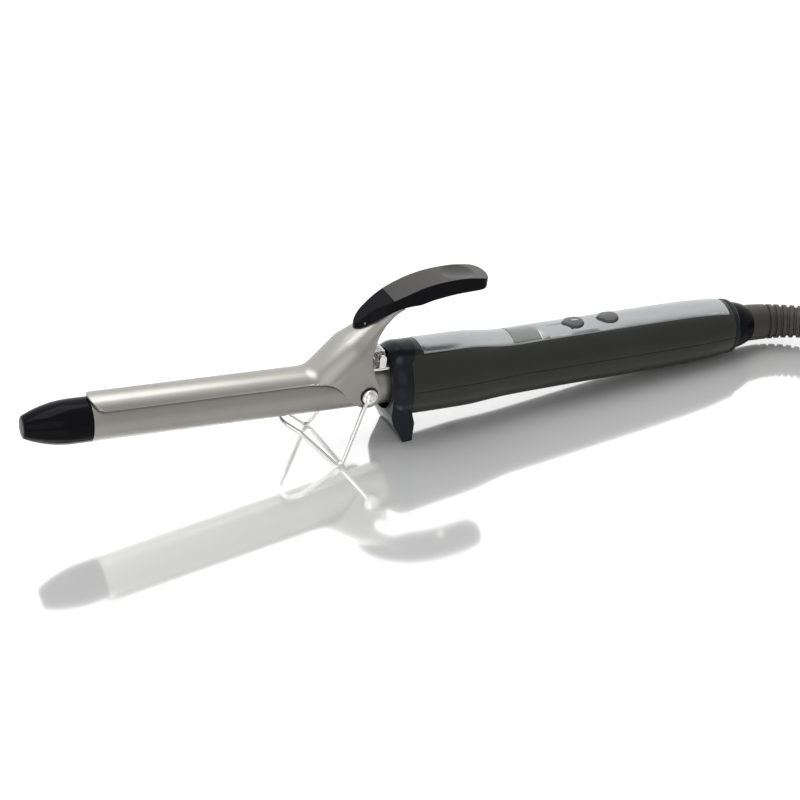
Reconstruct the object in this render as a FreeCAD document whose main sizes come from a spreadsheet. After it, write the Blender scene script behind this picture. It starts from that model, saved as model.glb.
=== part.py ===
import FreeCAD, Part
import Sketcher
import math
import os

# A curling iron. It is drawn in its own frame: X runs along the barrel from the tip to the cord,
# Y across it and Z up, with the barrel's axis on X. The finished iron is then tilted and lifted so
# that the collar's foot and the handle's tail rest on Z = 0, centred on the origin.

V = FreeCAD.Vector
ALONG, ACROSS, UP = V(1, 0, 0), V(0, 1, 0), V(0, 0, 1)

os.makedirs("parts", exist_ok=True)
doc = FreeCAD.newDocument("curling_iron")
made = []

# ---------------------------------------------------------------- driving dimensions, millimetres
sheet = doc.addObject("Spreadsheet::Sheet", "sizes")
DRIVING = {
    "tilt_angle": 6.235, "shift_along": -173.52, "lift": 43.25,
    "barrel_radius": 9.5, "barrel_wall": 1.2, "barrel_end": 186, "cap_length": 28, "cap_nose": 4.6,
    "pivot_along": 150, "clamp_gap": 0.55, "clamp_sheet": 1.2, "clamp_front": 27.4,
    "clamp_edge": 7.2, "bend_along": 122.2, "bend_ridge": 6, "lever_angle": 45,
    "ear_radius": 5.9, "ear_hole": 4.0, "wire_radius": 1.0, "foot_half_width": 12,
    "shell_wall": 2.6, "panel_half_width": 7.85, "panel_front": 176, "panel_back": 333,
    "panel_depth": 1.45, "panel_proud": 0.25, "window_front": 221, "window_back": 234.4,
    "first_button": 253.9, "second_button": 271.8, "button_radius": 4.5, "button_travel": 0.6,
    "board_level": 5.0, "board_thick": 1.6, "tail_end": 335.5, "swivel_height": 6.1,
    "swivel_bore": 8.3, "cord_radius": 3.0, "hank_centre_along": 315, "hank_centre_across": -25,
    "hank_straight": 84, "hank_fold": 30, "hank_turns_deep": 3, "plug_level": 25.2,
}
for row, (alias, amount) in enumerate(DRIVING.items(), start=1):
    sheet.set("A%d" % row, alias)
    sheet.set("B%d" % row, str(amount))
    sheet.setAlias("B%d" % row, alias)
doc.recompute()


class Size:
    """A length that knows its value and the spreadsheet expression that drives it."""

    def __init__(self, amount, text=None):
        self.amount = float(amount)
        self.text = text if text else "%.6g" % amount

    def __float__(self):
        return self.amount

    def __add__(self, other):
        other = as_size(other)
        return Size(self.amount + other.amount, "(%s + %s)" % (self.text, other.text))

    def __sub__(self, other):
        other = as_size(other)
        return Size(self.amount - other.amount, "(%s - %s)" % (self.text, other.text))

    def __mul__(self, factor):
        return Size(self.amount * factor, "(%s * %g)" % (self.text, factor))

    def __neg__(self):
        return self * -1


def as_size(value):
    return value if isinstance(value, Size) else Size(value)


def cell(alias):
    return Size(sheet.get(alias), "sizes." + alias)


tilt = math.radians(float(cell("tilt_angle")))
shift_along, lift = float(cell("shift_along")), float(cell("lift"))
IRON = FreeCAD.Placement(V(shift_along, 0, lift), FreeCAD.Rotation(ACROSS, math.degrees(tilt)))
FLOOR = FreeCAD.Placement()


def floor_level(along):
    """Height, in the iron's own frame, of the surface that the iron rests on."""
    return (along * math.sin(tilt) - lift) / math.cos(tilt)


# ---------------------------------------------------------------- ways of making a sub-part
def bind(thing, path, size):
    """Give a property its value, and its spreadsheet expression when it has one."""
    size = as_size(size)
    if "sizes." in size.text:
        thing.setExpression(path, size.text)
    else:
        setattr(thing, path, size.amount)


def finish(thing, label, placement):
    thing.Label = label
    thing.Placement = placement.multiply(thing.Placement)
    made.append(thing)
    return thing


def arc_centre(start, end, radius):
    """Centre of the short arc from start to end; a negative radius turns clockwise."""
    half = (end - start) * 0.5
    rise = math.sqrt(radius ** 2 - half.Length ** 2)
    side = V(-half.y, half.x, 0).normalize()
    return start + half + side * (rise if radius > 0 else -rise)


def draw_outline(sketch, corners):
    """Draw a closed outline. Each corner is (x, y) or (x, y, radius of the arc that leaves it)."""
    points = [V(float(c[0]), float(c[1]), 0) for c in corners]
    ends = []
    for i, corner in enumerate(corners):
        start, end = points[i], points[(i + 1) % len(points)]
        if len(corner) == 2:
            sketch.addGeometry(Part.LineSegment(start, end), False)
            ends.append((1, 2))
            continue
        radius = float(corner[2])
        centre = arc_centre(start, end, radius)
        first, last = (start, end) if radius > 0 else (end, start)
        angles = [math.atan2(p.y - centre.y, p.x - centre.x) for p in (first, last)]
        circle = Part.Circle(centre, UP, abs(radius))
        sketch.addGeometry(Part.ArcOfCircle(circle, angles[0], angles[1]), False)
        ends.append((1, 2) if radius > 0 else (2, 1))
    for i, corner in enumerate(corners):
        after = (i + 1) % len(corners)
        sketch.addConstraint(Sketcher.Constraint("Coincident", i, ends[i][1], after, ends[after][0]))
        for kind, axis, size in (("DistanceX", -2, corner[0]), ("DistanceY", -1, corner[1])):
            size = as_size(size)
            if size.amount == 0:
                sketch.addConstraint(Sketcher.Constraint("PointOnObject", i, ends[i][0], axis))
                continue
            number = sketch.addConstraint(
                Sketcher.Constraint(kind, -1, 1, i, ends[i][0], size.amount))
            if "sizes." in size.text:
                sketch.setExpression("Constraints[%d]" % number, size.text)
        if len(corner) == 3:
            sketch.addConstraint(Sketcher.Constraint("Radius", i, abs(float(corner[2]))))


def new_sketch(body, name, plane, offset=(0, 0, 0)):
    """A sketch on one of the body's own origin planes, with its origin moved by offset."""
    sketch = body.newObject("Sketcher::SketchObject", name)
    support = [f for f in body.Origin.OriginFeatures if f.Role == plane][0]
    sketch.AttachmentSupport = [(support, "")]
    sketch.MapMode = "FlatFace"
    for axis, size in zip("xyz", offset):
        size = as_size(size)
        if "sizes." in size.text:
            sketch.setExpression("AttachmentOffset.Base." + axis, size.text)
        else:
            offset_now = sketch.AttachmentOffset
            setattr(offset_now.Base, axis, size.amount)
            base = offset_now.Base
            sketch.AttachmentOffset = FreeCAD.Placement(base, offset_now.Rotation)
    return sketch


def turned(name, corners, plane="XZ_Plane", axis="H_Axis", offset=(0, 0, 0)):
    """A body turned from a half outline, about the sketch's own horizontal or vertical axis."""
    body = doc.addObject("PartDesign::Body", name)
    sketch = new_sketch(body, name + "_outline", plane, offset)
    draw_outline(sketch, corners)
    turn = body.newObject("PartDesign::Revolution", name + "_turn")
    turn.Profile = sketch
    turn.ReferenceAxis = (sketch, [axis])
    turn.Angle = 360
    return body


def padded(name, corners, plane, depth, offset=(0, 0, 0), both_ways=True):
    """A body of one thickness, from a closed outline."""
    body = doc.addObject("PartDesign::Body", name)
    sketch = new_sketch(body, name + "_outline", plane, offset)
    draw_outline(sketch, corners)
    pad = body.newObject("PartDesign::Pad", name + "_pad")
    pad.Profile = sketch
    bind(pad, "Length", depth)
    pad.SideType = "Symmetric" if both_ways else "One side"
    return body


def bored(body, name, plane, centre, radius, offset=(0, 0, 0)):
    """Cut a round hole right through a body, square to a plane."""
    sketch = new_sketch(body, name + "_circle", plane, offset)
    sketch.addGeometry(Part.Circle(V(float(centre[0]), float(centre[1]), 0), UP, float(radius)), False)
    for kind, axis, size in (("DistanceX", -2, centre[0]), ("DistanceY", -1, centre[1])):
        size = as_size(size)
        if size.amount == 0:
            sketch.addConstraint(Sketcher.Constraint("PointOnObject", 0, 3, axis))
            continue
        number = sketch.addConstraint(Sketcher.Constraint(kind, -1, 1, 0, 3, size.amount))
        if "sizes." in size.text:
            sketch.setExpression("Constraints[%d]" % number, size.text)
    number = sketch.addConstraint(Sketcher.Constraint("Radius", 0, float(radius)))
    if "sizes." in as_size(radius).text:
        sketch.setExpression("Constraints[%d]" % number, as_size(radius).text)
    hole = body.newObject("PartDesign::Pocket", name)
    hole.Profile = sketch
    hole.Type = "ThroughAll"
    hole.SideType = "Symmetric"
    return body


def box(name, low, sides):
    """A Part box with its low corner and its three sides bound to the sheet."""
    block = doc.addObject("Part::Box", name)
    for axis, size in zip(("x", "y", "z"), low):
        bind_place(block, axis, size)
    for side, size in zip(("Length", "Width", "Height"), sides):
        bind(block, side, size)
    return block


def bind_place(thing, axis, size):
    size = as_size(size)
    if "sizes." in size.text:
        thing.setExpression("Placement.Base." + axis, size.text)
    else:
        base = V(thing.Placement.Base)
        setattr(base, axis, size.amount)
        thing.Placement = FreeCAD.Placement(base, thing.Placement.Rotation)


TURN_TO = {"x": FreeCAD.Rotation(ACROSS, 90), "y": FreeCAD.Rotation(ALONG, -90),
           "z": FreeCAD.Rotation()}


def rod(name, start, direction, radius, length):
    """A Part cylinder along a frame axis from its start point."""
    pin = doc.addObject("Part::Cylinder", name)
    pin.Placement = FreeCAD.Placement(V(), TURN_TO[direction])
    for axis, size in zip(("x", "y", "z"), start):
        bind_place(pin, axis, size)
    bind(pin, "Radius", radius)
    bind(pin, "Height", length)
    return pin


def cut(name, base, tool):
    result = doc.addObject("Part::Cut", name)
    result.Base = base
    result.Tool = tool
    return result


def fused(name, *pieces):
    result = doc.addObject("Part::MultiFuse", name)
    result.Shapes = list(pieces)
    return result


def group(name, *pieces):
    """Several like pieces that share one node."""
    result = doc.addObject("Part::Compound", name)
    result.Links = list(pieces)
    return result


def shaped(name, shape, placement=IRON):
    feature = doc.addObject("Part::Feature", name)
    feature.Shape = shape
    return finish(feature, name, placement)


def block(low, high):
    low, high = V(*low), V(*high)
    side = high - low
    return Part.makeBox(side.x, side.y, side.z, low)


def prism(outline, direction, start):
    """A closed outline's edges, moved to start and pushed along direction."""
    face = Part.Face(Part.Wire(outline))
    face.translate(start)
    return face.extrude(direction)


def lines(points, closed=False):
    points = [V(*p) for p in points]
    if closed:
        points.append(points[0])
    return [Part.LineSegment(a, b).toShape() for a, b in zip(points, points[1:])]


def curve(points):
    spline = Part.BSplineCurve()
    spline.interpolate([V(*p) for p in points])
    return [spline.toShape()]


def side_view(pairs):
    """Points of the X-Z plane."""
    return [(x, 0, z) for x, z in pairs]


def mirrored(shape):
    return shape.mirror(V(), ACROSS)


def rounded_path(points, bends):
    """Straight runs joined by tangent arcs: one bend radius for each inner point."""
    edges, last = [], points[0]
    for before, corner, after, radius in zip(points, points[1:], points[2:], bends):
        into, out = (before - corner).normalize(), (after - corner).normalize()
        turn = math.pi - into.getAngle(out)
        reach = radius * math.tan(turn / 2)
        middle = corner + (into + out).normalize() * (radius / math.cos(turn / 2) - radius)
        start, end = corner + into * reach, corner + out * reach
        edges.append(Part.LineSegment(last, start).toShape())
        edges.append(Part.Arc(start, middle, end).toShape())
        last = end
    edges.append(Part.LineSegment(last, points[-1]).toShape())
    return Part.Wire(edges)


def swept(path, radius):
    """A round bar or tube along a path, with the volume compared to section times length."""
    first = path.OrderedEdges[0]
    start = first.valueAt(first.FirstParameter)
    direction = first.tangentAt(first.FirstParameter)
    section = Part.Wire(Part.Circle(start, direction, radius).toShape())
    bar = path.makePipeShell([section], True, False)
    expected = math.pi * radius ** 2 * path.Length
    if abs(bar.Volume - expected) > 0.02 * expected:
        raise RuntimeError("swept bar has volume %.1f, not %.1f" % (bar.Volume, expected))
    return bar


def bend_radii(points):
    """The largest bend at each inner point of a free cord's route."""
    radii = []
    for before, corner, after in zip(points, points[1:], points[2:]):
        into, out = before - corner, after - corner
        turn = math.pi - into.getAngle(out)
        radii.append(0.45 * min(into.Length, out.Length) / math.tan(turn / 2))
    return radii


# ---------------------------------------------------------------- barrel, cool tip and heater
barrel_radius, barrel_wall = cell("barrel_radius"), cell("barrel_wall")
barrel_bore = barrel_radius - barrel_wall
cap_length, barrel_end = cell("cap_length"), cell("barrel_end")
SPIGOT = 8

finish(turned("tip_cap", [
    (0, 0), (0, cell("cap_nose"), -47.4), (21, barrel_radius), (cap_length, barrel_radius),
    (cap_length, barrel_bore), (cap_length + SPIGOT, barrel_bore), (cap_length + SPIGOT, 0),
]), "tip_cap", IRON)

pivot_along = cell("pivot_along")
BUSH_RADIUS = 3.2
tube = turned("barrel_tube", [
    (cap_length, barrel_bore), (cap_length, barrel_radius),
    (barrel_end, barrel_radius), (barrel_end, barrel_bore)])
bored(tube, "pivot_hole", "XZ_Plane", (pivot_along, 0), BUSH_RADIUS)
finish(tube, "barrel_tube", IRON)

HEATER_START, HEATER_LONG = 38, 92
SLOT_WIDE, SLOT_HIGH = 12.6, 4.6
spreader = rod("spreader_bar", (HEATER_START, 0, 0), "x", barrel_bore - 0.05, HEATER_LONG)
slot = box("spreader_slot", (HEATER_START - 1, -10, -SLOT_HIGH / 2), (HEATER_LONG + 2, 20, SLOT_HIGH))
finish(cut("heat_spreaders", spreader, slot), "heat_spreaders", IRON)

film_outer = box("film_outer", (HEATER_START, -SLOT_WIDE / 2, -SLOT_HIGH / 2),
                 (HEATER_LONG, SLOT_WIDE, SLOT_HIGH))
film_inner = box("film_inner", (HEATER_START - 1, -6, -2), (HEATER_LONG + 2, 12, 4))
finish(cut("heater_insulation", film_outer, film_inner), "heater_insulation", IRON)
finish(box("ceramic_heater", (HEATER_START + 1, -5.9, -1.9), (HEATER_LONG - 2, 11.8, 3.8)),
       "ceramic_heater", IRON)
finish(turned("temperature_sensor", [(133, 0), (133, 1.2), (140, 1.2), (140, 0)],
              offset=(0, 4, 0)), "temperature_sensor", IRON)
finish(turned("thermal_fuse", [(158, 0), (158, 1.9), (170, 1.9), (170, 0)],
              offset=(0, -4, 0)), "thermal_fuse", IRON)

LEAD_RADIUS = 0.7
lead_level = float(cell("board_level")) - LEAD_RADIUS
lead_path = rounded_path([V(HEATER_START + HEATER_LONG - 1, 3, 0), V(187.5, 3, 0), V(195, 6.6, 1.5),
                          V(207, 6.6, lead_level), V(222, 6.6, lead_level)], [6, 6, 6])
heater_lead = swept(lead_path, LEAD_RADIUS)
shaped("heater_leads", Part.makeCompound([heater_lead, mirrored(heater_lead)]))

# ---------------------------------------------------------------- clamp pivot
bush = [(BUSH_RADIUS, 6), (BUSH_RADIUS, 9.95), (1.5, 9.95), (1.5, 6)]
washer_face = barrel_radius + cell("clamp_gap")
washer_radius = cell("ear_hole") - 0.05
washer = [(washer_radius, washer_face), (washer_radius, washer_face + 1.2),
          (1.52, washer_face + 1.2), (1.52, washer_face)]
wire_radius = cell("wire_radius")
eyelet_face = washer_face + 1.3
head_face = eyelet_face + wire_radius * 2 + 0.1
shank = [(0, 5.5), (1.48, 5.5), (1.48, head_face), (2.4, head_face), (2.4, head_face + 0.5, 2.0),
         (1.3, head_face + 1.1), (0, head_face + 1.1)]


def both_sides(label, half_outline):
    """A small turned piece about the pivot, and its twin on the far side."""
    twins = []
    for side, sign in (("near", -1), ("far", 1)):
        corners = [(c[0], as_size(c[1]) * sign) + tuple(-r * sign for r in c[2:])
                   for c in half_outline]
        twins.append(turned(label + "_" + side, corners, "XY_Plane", "V_Axis", (pivot_along, 0, 0)))
    finish(group(label, *twins), label, IRON)


both_sides("pivot_bushes", bush)
both_sides("pivot_washers", washer)
both_sides("pivot_screws", shank)

# ---------------------------------------------------------------- clamp: tongue, ears and lever
gap, sheet_thick = float(cell("clamp_gap")), float(cell("clamp_sheet"))
arch_inner = float(barrel_radius) + gap
bend_start = V(float(cell("bend_along")), 0, 0)
lever_angle = math.radians(float(cell("lever_angle")))
lever_way = V(math.cos(lever_angle), 0, math.sin(lever_angle))
pivot = V(float(pivot_along), 0, 0)
LEG = 24                      # how far the arch's straight sides reach below its centre
STRAIGHT, TAPERED, NARROW = 16, 18, 11    # lengths of the lever's three stretches
TIP_HALF_WIDTH = 6.6


def arch_section(half_width, leg):
    """An upright arch in the Y-Z plane, round on top with straight sides."""
    top = Part.Arc(V(0, -half_width, 0), V(0, 0, half_width), V(0, half_width, 0)).toShape()
    sides = lines([(0, half_width, 0), (0, half_width, -leg), (0, -half_width, -leg),
                   (0, -half_width, 0)])
    return Part.Wire([top] + sides)


def clamp_block(half_width, leg, front):
    """The solid block that the clamp's inside or outside face bounds."""
    bend_radius = float(barrel_radius) + gap + sheet_thick + float(cell("bend_ridge"))
    hub = bend_start + V(0, 0, bend_radius)
    section = Part.Face(arch_section(half_width, leg))
    tongue = section.copy()
    tongue.translate(V(front, 0, 0))
    tongue = tongue.extrude(V(bend_start.x - front, 0, 0))
    bend = section.copy()
    bend.translate(bend_start)
    bend = bend.revolve(hub, ACROSS, -math.degrees(lever_angle))
    lever_start = bend_start + V(bend_radius * math.sin(lever_angle), 0,
                                 bend_radius * (1 - math.cos(lever_angle)))
    turned_up = FreeCAD.Rotation(ACROSS, -math.degrees(lever_angle))
    wide = arch_section(half_width, leg)
    wide.Placement = FreeCAD.Placement(lever_start, turned_up)
    lever = Part.Face(wide).extrude(lever_way * STRAIGHT)
    wide.translate(lever_way * STRAIGHT)
    narrow = arch_section(TIP_HALF_WIDTH - (arch_inner + sheet_thick - half_width), leg)
    narrow.Placement = FreeCAD.Placement(lever_start + lever_way * (STRAIGHT + TAPERED), turned_up)
    taper = Part.makeLoft([wide, narrow], True, True)
    end = Part.Face(narrow).extrude(lever_way * NARROW)
    return tongue.multiFuse([bend, lever, taper, end]).removeSplitter()


clamp_front, clamp_edge = float(cell("clamp_front")), float(cell("clamp_edge"))
ear_radius = float(cell("ear_radius"))
ear_bottom = pivot + V(-1.5, 0, -math.sqrt(ear_radius ** 2 - 1.5 ** 2))
ear_back = pivot + V(math.sqrt(ear_radius ** 2 - 3 ** 2), 0, 3)
ear_middle = pivot + V(ear_radius * math.cos(0.75), 0, -ear_radius * math.sin(0.75))
outline = lines(side_view([(clamp_front, 60), (clamp_front, clamp_edge), (128.5, clamp_edge)]))
outline += curve([(128.5, 0, clamp_edge), (133.8, 0, 6.2), (139.6, 0, 0.6), tuple(ear_bottom)])
outline += [Part.Arc(ear_bottom, ear_middle, ear_back).toShape()]
outline += curve([tuple(ear_back), (152.2, 0, 9.2), (150.7, 0, 15), (152.2, 0, 23.2),
                  (154.2, 0, 27.0), (157.3, 0, 30.6), (160.8, 0, 34.5), (164.3, 0, 37.0),
                  (167.6, 0, 38.1)])
outline += lines(side_view([(167.6, 38.1), (167.6, 60), (clamp_front, 60)]))
side_cutter = prism(outline, ACROSS * 40, V(0, -20, 0))

CORNER = 8
half_tongue = 8.9
plan = lines([(clamp_front + CORNER, -20, 0), (400, -20, 0), (400, 20, 0),
              (clamp_front + CORNER, 20, 0), (clamp_front + CORNER, half_tongue, 0)])
plan += [Part.Arc(V(clamp_front + CORNER, half_tongue, 0),
                  V(clamp_front + CORNER * (1 - math.sin(math.pi / 4)),
                    half_tongue - CORNER * (1 - math.cos(math.pi / 4)), 0),
                  V(clamp_front, half_tongue - CORNER, 0)).toShape()]
plan += lines([(clamp_front, half_tongue - CORNER, 0), (clamp_front, CORNER - half_tongue, 0)])
plan += [Part.Arc(V(clamp_front, CORNER - half_tongue, 0),
                  V(clamp_front + CORNER * (1 - math.sin(math.pi / 4)),
                    CORNER * (1 - math.cos(math.pi / 4)) - half_tongue, 0),
                  V(clamp_front + CORNER, -half_tongue, 0)).toShape()]
plan += lines([(clamp_front + CORNER, -half_tongue, 0), (clamp_front + CORNER, -20, 0)])
plan_cutter = prism(plan, UP * 90, V(0, 0, -20))

skin = clamp_block(arch_inner + sheet_thick, LEG, clamp_front).cut(
    clamp_block(arch_inner, LEG + 2, clamp_front - 5))
sheet_metal = skin.common(side_cutter).common(plan_cutter)
ear_hole = Part.makeCylinder(float(cell("ear_hole")), 40, pivot - ACROSS * 20, ACROSS)
tang = prism(lines(side_view([(148, 30.8), (154, 35.2), (170, 41.2), (194, 45.2), (194, 46.4),
                              (169.6, 42.4), (153.4, 36.4), (147.4, 32)]), closed=True),
             ACROSS * 8, V(0, -4, 0))
RIVET_ALONG, RIVET_RADIUS, RIVET_TOP = 186, 1.6, 46.2
rivet_hole = Part.makeCylinder(RIVET_RADIUS, RIVET_TOP - 38, V(RIVET_ALONG, 0, 38))
tang = tang.cut(rivet_hole)
tang_above = tang.cut(clamp_block(arch_inner, LEG + 2, 20))
shaped("clamp", sheet_metal.cut(ear_hole).fuse(tang_above).removeSplitter())

GRIP_FRONT, GRIP_BACK, GRIP_HALF = 144.3, 205.0, 7.8
grip_side = curve(side_view([(GRIP_FRONT, 30.6), (149.3, 36.4), (157.6, 41.5), (167.5, 45.7),
                             (177.2, 48.4), (187, 49.6), (194, 49.7), (GRIP_BACK, 48.5)]))
grip_side += lines(side_view([(GRIP_BACK, 48.5), (GRIP_BACK, 43.5)]))
grip_side += curve(side_view([(GRIP_BACK, 43.5), (197.7, 43.1), (187.7, 42.3), (177.8, 40.6),
                              (172.5, 39.1), (166.8, 38.5), (160.8, 36.9), (150.7, 31.4),
                              (144.9, 28.8)]))
grip_side += lines(side_view([(144.9, 28.8), (GRIP_FRONT, 30.6)]))
grip_nose = [(178, -GRIP_HALF), (167, -7.5), (157.6, -6.5), (149.5, -4.2), (145.2, -1.9),
             (GRIP_FRONT, 0), (145.2, 1.9), (149.5, 4.2), (157.6, 6.5), (167, 7.5),
             (178, GRIP_HALF)]
grip_tail = [(199, GRIP_HALF), (202.5, 6.7), (204.4, 3.9), (GRIP_BACK, 0), (204.4, -3.9),
             (202.5, -6.7), (199, -GRIP_HALF)]
grip_plan = curve([(x, y, 0) for x, y in grip_nose])
grip_plan += lines([(178, GRIP_HALF, 0), (199, GRIP_HALF, 0)])
grip_plan += curve([(x, y, 0) for x, y in grip_tail])
grip_plan += lines([(199, -GRIP_HALF, 0), (178, -GRIP_HALF, 0)])
grip_shape = prism(grip_side, ACROSS * 20, V(0, -10, 0)).common(prism(grip_plan, UP * 60, V(0, 0, 10)))
grip_pocket = clamp_block(arch_inner + sheet_thick, LEG, clamp_front).common(side_cutter).fuse(tang)
shaped("thumb_grip", grip_shape.cut(grip_pocket).cut(rivet_hole))
finish(rod("grip_rivet", (RIVET_ALONG, 0, 41), "z", RIVET_RADIUS, RIVET_TOP - 41), "grip_rivet", IRON)

# ---------------------------------------------------------------- clamp spring and its bracket
SPRING, SPRING_TURN = V(156.6, 0, 15.2), -114.8
BRACKET_TOP = 11.4
plate = box("bracket_plate", (148, -8, BRACKET_TOP - 1.2), (12, 16, 1.2))
saddle = box("bracket_saddle", (150, -3.5, 8), (7, 7, BRACKET_TOP - 8.6))
lugs = [box("bracket_lug_%d" % n, (154.4, side, BRACKET_TOP - 0.6), (4.4, 1.2, 7))
        for n, side in enumerate((-7.6, 6.4))]
blank = fused("bracket_blank", plate, saddle, *lugs)
barrel_room = rod("bracket_barrel_room", (140, 0, 0), "x", barrel_radius, 30)
pin_room = rod("bracket_pin_room", (SPRING.x, -9, SPRING.z), "y", 1.22, 18)
finish(cut("spring_bracket", blank, group("bracket_room", barrel_room, pin_room)),
       "spring_bracket", IRON)
finish(rod("spring_pin", (SPRING.x, -8.2, SPRING.z), "y", 1.2, 16.4), "spring_pin", IRON)

COIL_RADIUS, COIL_WIRE, COIL_PITCH, COIL_WIDE = 2.5, 0.6, 1.7, 7.79
helix = Part.makeHelix(COIL_PITCH, COIL_WIDE, COIL_RADIUS)
section = Part.Wire(Part.Circle(V(COIL_RADIUS, 0, 0), ACROSS, COIL_WIRE).toShape())
coil = Part.Wire(helix.Edges).makePipeShell([section], True, True)


def spring_arm(at_end, length):
    """A straight arm that carries on from one end of the coil, a hair thinner than its wire."""
    turns_on = COIL_WIDE / COIL_PITCH if at_end else 0
    angle = 2 * math.pi * turns_on
    start = V(COIL_RADIUS * math.cos(angle), COIL_RADIUS * math.sin(angle), COIL_PITCH * turns_on)
    way = V(-math.sin(angle), math.cos(angle), COIL_PITCH / (2 * math.pi * COIL_RADIUS)).normalize()
    way = way if at_end else way * -1
    return Part.makeCylinder(COIL_WIRE - 0.04, length + 0.3, start - way * 0.3, way)


wound = coil.multiFuse([spring_arm(False, 15), spring_arm(True, 8)])
wound.rotate(V(), UP, SPRING_TURN)
wound.rotate(V(), ALONG, 90)
wound.translate(SPRING + V(0, COIL_WIDE / 2, 0))
shaped("clamp_spring", wound)

# ---------------------------------------------------------------- folding wire stand
wire = float(wire_radius)
EYELET = 2.6
eyelet_level = float(eyelet_face) + wire
CORNER_ACROSS, CORNER_ALONG = 19.4, 135.4
corner_level = floor_level(CORNER_ALONG) - 0.74
leg_way = V(CORNER_ALONG, 0, corner_level) - pivot
leg_way.normalize()
stand_points = [
    pivot + leg_way * EYELET + V(0, -eyelet_level, 0),
    pivot + leg_way * (EYELET + 4) + V(0, -eyelet_level - 0.2, 0),
    V(CORNER_ALONG, -CORNER_ACROSS, corner_level),
    V(119.5, -9.5, -14.6),
    V(113.6, -4.6, -11.4),
]
far_side = [V(p.x, -p.y, p.z) for p in reversed(stand_points)]
stand_bends = [6, 2.6, 8, 5, 5, 8, 2.6, 6]
stand_bar = swept(rounded_path(stand_points + far_side, stand_bends), wire)
EYE_WIRE = wire + 0.06
eyelets = [Part.makeTorus(EYELET, EYE_WIRE, pivot + V(0, side * eyelet_level, 0), ACROSS)
           for side in (-1, 1)]
shaped("wire_stand", stand_bar.multiFuse(eyelets))

# ---------------------------------------------------------------- collar with its foot
SEAM = 168.2
seam_side = [Part.Arc(V(180.1, 0, -30), V(SEAM + 0.55, 0, 0), V(SEAM + 0.6, 0, 13)).toShape()]
seam_side += lines(side_view([(SEAM + 0.6, 13), (174.6, 19), (174.6, 40), (420, 40), (420, -30),
                              (180.1, -30)]))
handle_zone = prism(seam_side, ACROSS * 60, V(0, -30, 0))

NOSE, COLLAR_HEIGHT, COLLAR_RADIUS = 160.4, 1.15, 16.6
NOSE_LIP = 12.9
nose_arc = Part.Arc(V(NOSE, 0, NOSE_LIP), V(163.0, 0, 15.35), V(168.4, 0, COLLAR_RADIUS)).toShape()
nose_outline = [nose_arc] + lines(side_view([(168.4, COLLAR_RADIUS), (178, COLLAR_RADIUS), (178, 0),
                                             (NOSE, 0), (NOSE, NOSE_LIP)]))
nose = Part.Face(Part.Wire(nose_outline)).revolve(V(), ALONG, 360)
nose.translate(V(0, 0, COLLAR_HEIGHT))
FOOT_FRONT, FOOT_BACK = 168.0, 172.4
foot_side = lines(side_view([(FOOT_BACK, floor_level(FOOT_BACK)), (FOOT_BACK, 0), (NOSE + 0.3, 0),
                             (NOSE + 0.3, -11.2)]))
foot_side += curve(side_view([(NOSE + 0.3, -11.2), (162.3, -15.6), (165.4, -20.6),
                              (FOOT_FRONT, floor_level(FOOT_FRONT))]))
foot_side += lines(side_view([(FOOT_FRONT, floor_level(FOOT_FRONT)),
                              (FOOT_BACK, floor_level(FOOT_BACK))]))
half_foot = float(cell("foot_half_width"))
foot_front = lines([(0, -13.4, 0), (0, -13.3, -8.4), (0, -half_foot, -30), (0, half_foot, -30),
                    (0, 13.3, -8.4), (0, 13.4, 0)], closed=True)
foot = prism(foot_side, ACROSS * 60, V(0, -30, 0)).common(prism(foot_front, ALONG * 60, V(140, 0, 0)))
MOUTH = 12.0
mouth = Part.makeCylinder(MOUTH, 16, V(150, 0, 0), ALONG)
hood = Part.makeCylinder(9.0, 15, V(150, 0, 6.4), ALONG).fuse(block((150, -9, 0), (165, 9, 6.4)))
bush_room = Part.makeCylinder(11.9, 40, V(150, 0, 0), ALONG)
collar_rooms = mouth.multiFuse([hood, bush_room])
shaped("collar", nose.fuse(foot).cut(handle_zone).cut(collar_rooms).removeSplitter())
finish(turned("barrel_bush", [(166, barrel_radius), (166, 11.9), (180, 11.9), (180, barrel_radius)]),
       "barrel_bush", IRON)

# ---------------------------------------------------------------- handle shells
# The handle is round in section. Stations: place along X, height of the centre, and radius.
STATIONS = [(160, 1.1, 16.5), (176, 1.1, 16.65), (190, 1.3, 16.6), (200, 1.5, 16.45),
            (206, 1.55, 16.0), (212, 1.58, 15.4), (219, 1.7, 14.95), (230, 2.2, 14.8),
            (245, 2.8, 14.75), (260, 3.3, 14.7), (280, 4.0, 14.65), (300, 4.8, 14.5),
            (312, 5.25, 14.3), (324, 5.7, 13.8), (332, 6.0, 13.1), (336, 6.1, 12.6),
            (340, 6.15, 12.0)]
RINGS = 31


def at_station(curve_through, along):
    """The second coordinate of a smooth curve where its first one is along."""
    low, high = curve_through.FirstParameter, curve_through.LastParameter
    for _ in range(40):
        middle = (low + high) / 2
        if curve_through.value(middle).x < along:
            low = middle
        else:
            high = middle
    return curve_through.value(low).y


centre_line, girth = Part.BSplineCurve(), Part.BSplineCurve()
centre_line.interpolate([V(x, z, 0) for x, z, r in STATIONS])
girth.interpolate([V(x, r, 0) for x, z, r in STATIONS])
first_ring, last_ring = STATIONS[0][0], STATIONS[-1][0]
ring_places = [first_ring + (last_ring - first_ring) * n / (RINGS - 1) for n in range(RINGS)]


def handle_loft(proud):
    """The handle's outer form, grown or shrunk by proud."""
    rings = []
    for x in ring_places:
        middle = V(x, 0, at_station(centre_line, x))
        rings.append(Part.Wire(Part.Circle(middle, ALONG, at_station(girth, x) + proud).toShape()))
    return Part.makeLoft(rings, True, False)


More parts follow.
